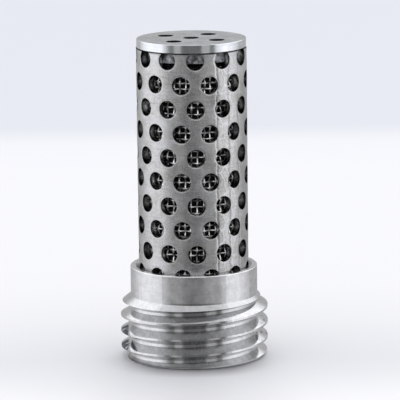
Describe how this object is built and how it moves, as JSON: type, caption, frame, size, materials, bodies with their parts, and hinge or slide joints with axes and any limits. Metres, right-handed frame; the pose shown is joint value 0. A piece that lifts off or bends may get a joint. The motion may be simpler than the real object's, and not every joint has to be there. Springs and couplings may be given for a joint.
{
  "type": "pneumatic muffler",
  "caption": "Male-threaded exhaust muffler: a perforated metal tube over a woven wire mesh sleeve, closed by a vented end cap.",
  "frame": {"origin": "centre of the threaded base's flat bottom face, on the muffler's axis", "axes": "+Z along the axis from the threaded end to the vented cap, -Y towards the viewer of the picture, +X to the right"},
  "size_m": [0.014, 0.014, 0.0305],
  "materials": {
    "turned_steel": "fine turned",
    "perforated_steel": "satin, lightly scratched",
    "cap_steel": "fine turned",
    "coarse_mesh": "bright drawn wire",
    "fine_mesh": "fine dull wire cloth"
  },
  "bodies": {
    "root": {"threaded_base": "turned_steel", "perforated_tube": "perforated_steel", "end_cap": "cap_steel", "outer_mesh_sleeve": "coarse_mesh", "filter_mesh_sleeve": "fine_mesh", "support_mesh_sleeve": "coarse_mesh", "end_mesh_disc": "coarse_mesh", "end_filter_disc": "fine_mesh"}
  },
  "joints": []
}
